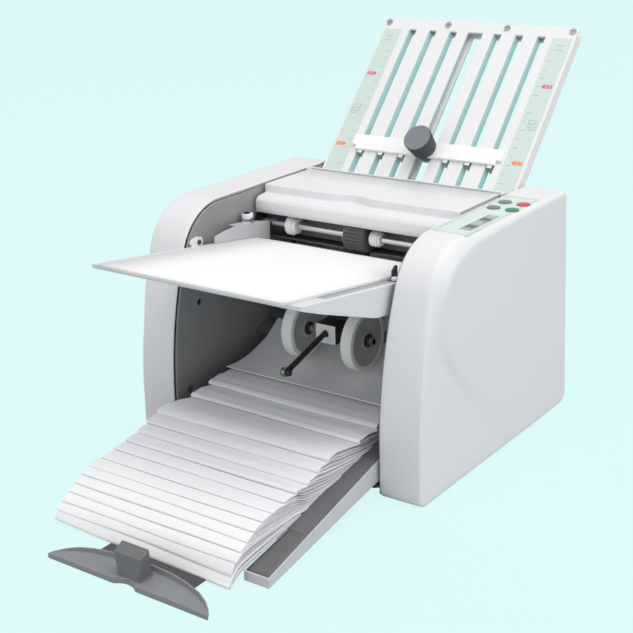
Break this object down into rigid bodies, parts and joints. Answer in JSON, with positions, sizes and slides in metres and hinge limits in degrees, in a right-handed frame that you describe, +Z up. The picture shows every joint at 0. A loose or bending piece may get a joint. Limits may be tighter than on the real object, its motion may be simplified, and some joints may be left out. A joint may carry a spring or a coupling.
{
  "type": "paper folding machine",
  "caption": "Desktop paper folding machine: friction feed table, geared fold rollers, two fold plates with stops, press wheels, delivery tray with paper stop, side covers and push buttons.",
  "frame": {"origin": "bottom centre of the bounding box, at desk level under the middle of the machine", "axes": "+X to the operator's right, +Y from the operator to the rear, +Z up"},
  "size_m": [0.343, 0.661, 0.3873],
  "materials": {
    "cover_plastic": "fine texture, pale grey-white",
    "frame_steel": "satin grey paint",
    "zinc_steel": "satin",
    "chrome": "polished",
    "roller_steel": "ground",
    "black_rubber": "matt",
    "white_plastic": "smooth, white",
    "dark_plastic": "matt, dark grey",
    "grey_plastic": "matt, mid grey",
    "grille_paint": "pale satin paint",
    "mint_label": "thin printed film, pale green",
    "window": "dark display window",
    "button_grey": "glossy",
    "button_green": "glossy",
    "button_red": "glossy",
    "board": "green circuit board",
    "sheet_paper": "uncoated white",
    "folded_paper": "uncoated, faintly lilac",
    "table_grey": "satin grey",
    "motor_paint": "satin black",
    "bronze": "sintered"
  },
  "bodies": {
    "machine": {"right_side_cover": "cover_plastic", "left_side_cover": "cover_plastic", "right_side_frame": "frame_steel", "left_side_frame": "frame_steel", "base_plate": "frame_steel", "rubber_feet": "black_rubber", "tie_rods": "zinc_steel", "bearing_bushes": "bronze", "drive_belt": "black_rubber", "drive_motor": "motor_paint", "feed_table": "white_plastic", "feed_table_plate": "table_grey", "paper_stack": "sheet_paper", "separator_pad": "black_rubber", "guard_plate": "dark_plastic", "exit_chute": "zinc_steel", "rear_bridge": "grille_paint", "hood_hinge_pins": "zinc_steel", "upper_plate_front": "grille_paint", "upper_plate_back": "grille_paint", "upper_scale_strips": "mint_label", "assembly_screws": "zinc_steel", "lower_plate_front": "grille_paint", "lower_plate_back": "grille_paint", "delivery_tray": "white_plastic", "tray_mat": "dark_plastic", "folded_sheets": "folded_paper", "control_panel": "mint_label", "display_window": "window", "circuit_board": "board", "power_inlet": "dark_plastic"},
    "hood": {"hood": "cover_plastic"},
    "upper_stop": {"upper_stop_bar": "white_plastic"},
    "upper_knob": {"upper_stop_knob": "dark_plastic"},
    "lower_stop": {"lower_stop_bar": "white_plastic"},
    "lower_knob": {"lower_stop_knob": "dark_plastic"},
    "left_guide": {"left_paper_guide": "zinc_steel"},
    "right_guide": {"right_paper_guide": "dark_plastic"},
    "skew_lever": {"skew_lever": "white_plastic"},
    "feed_shaft": {"feed_shaft": "chrome", "feed_roller": "black_rubber", "feed_shaft_collars": "white_plastic"},
    "roller_1": {"fold_roller_1": "roller_steel"},
    "roller_2": {"fold_roller_2": "roller_steel", "drive_pulley": "dark_plastic"},
    "roller_3": {"fold_roller_3": "roller_steel"},
    "roller_4": {"fold_roller_4": "roller_steel"},
    "idler": {"idler_gear": "white_plastic"},
    "motor_shaft": {"motor_pulley": "zinc_steel"},
    "press_unit": {"press_yoke": "white_plastic", "press_lever": "dark_plastic"},
    "left_wheel": {"left_press_wheel": "grey_plastic"},
    "right_wheel": {"right_press_wheel": "grey_plastic"},
    "extension": {"extension_plate": "dark_plastic"},
    "paper_stop": {"stop_wing": "grey_plastic"},
    "button_grey_front": {"button_grey_front": "button_grey"},
    "button_green": {"button_green": "button_green"},
    "button_grey_rear": {"button_grey_rear": "button_grey"},
    "button_red": {"button_red": "button_red"},
    "switch_rocker": {"power_switch": "dark_plastic"}
  },
  "joints": [
    {"name": "hood_hinge", "type": "hinge", "parent": "machine", "child": "hood", "pos_m": [0, 0.15147, 0.2385], "axis": [-1, 0, 0], "range_deg": [0, 65]},
    {"name": "upper_stop_slide", "type": "slide", "parent": "machine", "child": "upper_stop", "axis": [0, 0.6858, 0.7278], "range_m": [-0.02, 0.14]},
    {"name": "upper_knob_turn", "type": "hinge", "parent": "upper_stop", "child": "upper_knob", "pos_m": [0, 0.2038, 0.26285], "axis": [0, -0.7278, 0.6858], "range_deg": [0, 180]},
    {"name": "lower_stop_slide", "type": "slide", "parent": "machine", "child": "lower_stop", "axis": [0, 0.4003, -0.9164], "range_m": [-0.055, 0.034]},
    {"name": "lower_knob_turn", "type": "hinge", "parent": "lower_stop", "child": "lower_knob", "pos_m": [0, 0.1849, 0.06761], "axis": [0, 0.9164, 0.4003], "range_deg": [0, 180]},
    {"name": "left_guide_slide", "type": "slide", "parent": "machine", "child": "left_guide", "axis": [-1, 0, 0], "range_m": [0, 0.003]},
    {"name": "right_guide_slide", "type": "slide", "parent": "machine", "child": "right_guide", "axis": [1, 0, 0], "range_m": [0, 0.004]},
    {"name": "skew_lever_turn", "type": "hinge", "parent": "machine", "child": "skew_lever", "pos_m": [-0.1205, -0.04313, 0.2042], "axis": [1, 0, 0], "range_deg": [-15, 15]},
    {"name": "fold_roller_2_spin", "type": "hinge", "parent": "machine", "child": "roller_2", "pos_m": [0, 0.12659, 0.16816], "axis": [1, 0, 0], "continuous": true},
    {"name": "fold_roller_1_spin", "type": "hinge", "parent": "machine", "child": "roller_1", "pos_m": [0, 0.11234, 0.19284], "axis": [1, 0, 0], "continuous": true},
    {"name": "fold_roller_3_spin", "type": "hinge", "parent": "machine", "child": "roller_3", "pos_m": [0, 0.15338, 0.17791], "axis": [1, 0, 0], "continuous": true},
    {"name": "fold_roller_4_spin", "type": "hinge", "parent": "machine", "child": "roller_4", "pos_m": [0, 0.13252, 0.14028], "axis": [1, 0, 0], "continuous": true},
    {"name": "idler_spin", "type": "hinge", "parent": "machine", "child": "idler", "pos_m": [0, 0.08938, 0.20807], "axis": [1, 0, 0], "continuous": true},
    {"name": "feed_shaft_spin", "type": "hinge", "parent": "machine", "child": "feed_shaft", "pos_m": [0, 0.06247, 0.20219], "axis": [1, 0, 0], "continuous": true},
    {"name": "motor_shaft_spin", "type": "hinge", "parent": "machine", "child": "motor_shaft", "pos_m": [0, 0.10047, 0.065], "axis": [1, 0, 0], "continuous": true},
    {"name": "press_lift", "type": "hinge", "parent": "machine", "child": "press_unit", "pos_m": [0, 0.06047, 0.149], "axis": [-1, 0, 0], "range_deg": [0, 25]},
    {"name": "left_wheel_spin", "type": "hinge", "parent": "press_unit", "child": "left_wheel", "pos_m": [-0.036, 0.01847, 0.10935], "axis": [1, 0, 0], "continuous": true},
    {"name": "right_wheel_spin", "type": "hinge", "parent": "press_unit", "child": "right_wheel", "pos_m": [0.036, 0.01847, 0.10935], "axis": [1, 0, 0], "continuous": true},
    {"name": "extension_slide", "type": "slide", "parent": "machine", "child": "extension", "axis": [0, -1, 0], "range_m": [-0.012, 0.1]},
    {"name": "paper_stop_slide", "type": "slide", "parent": "extension", "child": "paper_stop", "axis": [0, -1, 0], "range_m": [0, 0.012]},
    {"name": "button_grey_front_press", "type": "slide", "parent": "machine", "child": "button_grey_front", "axis": [0, 0, -1], "range_m": [0, 0.001], "stiffness_N_per_m": 700, "springref_m": -0.0006},
    {"name": "button_green_press", "type": "slide", "parent": "machine", "child": "button_green", "axis": [0, 0, -1], "range_m": [0, 0.001], "stiffness_N_per_m": 700, "springref_m": -0.0006},
    {"name": "button_grey_rear_press", "type": "slide", "parent": "machine", "child": "button_grey_rear", "axis": [0, 0, -1], "range_m": [0, 0.001], "stiffness_N_per_m": 700, "springref_m": -0.0006},
    {"name": "button_red_press", "type": "slide", "parent": "machine", "child": "button_red", "axis": [0, 0, -1], "range_m": [0, 0.001], "stiffness_N_per_m": 700, "springref_m": -0.0006},
    {"name": "switch_rock", "type": "hinge", "parent": "machine", "child": "switch_rocker", "pos_m": [0.14825, 0.20168, 0.09462], "axis": [0, -0.0629, 0.998], "range_deg": [-8, 8]}
  ],
  "couplings": [
    {"joint": "fold_roller_1_spin", "follows": "fold_roller_2_spin", "ratio": -1},
    {"joint": "fold_roller_3_spin", "follows": "fold_roller_2_spin", "ratio": -1},
    {"joint": "fold_roller_4_spin", "follows": "fold_roller_2_spin", "ratio": -1},
    {"joint": "idler_spin", "follows": "fold_roller_2_spin", "ratio": 1.0714},
    {"joint": "feed_shaft_spin", "follows": "fold_roller_2_spin", "ratio": -1},
    {"joint": "motor_shaft_spin", "follows": "fold_roller_2_spin", "ratio": 2.4444}
  ]
}
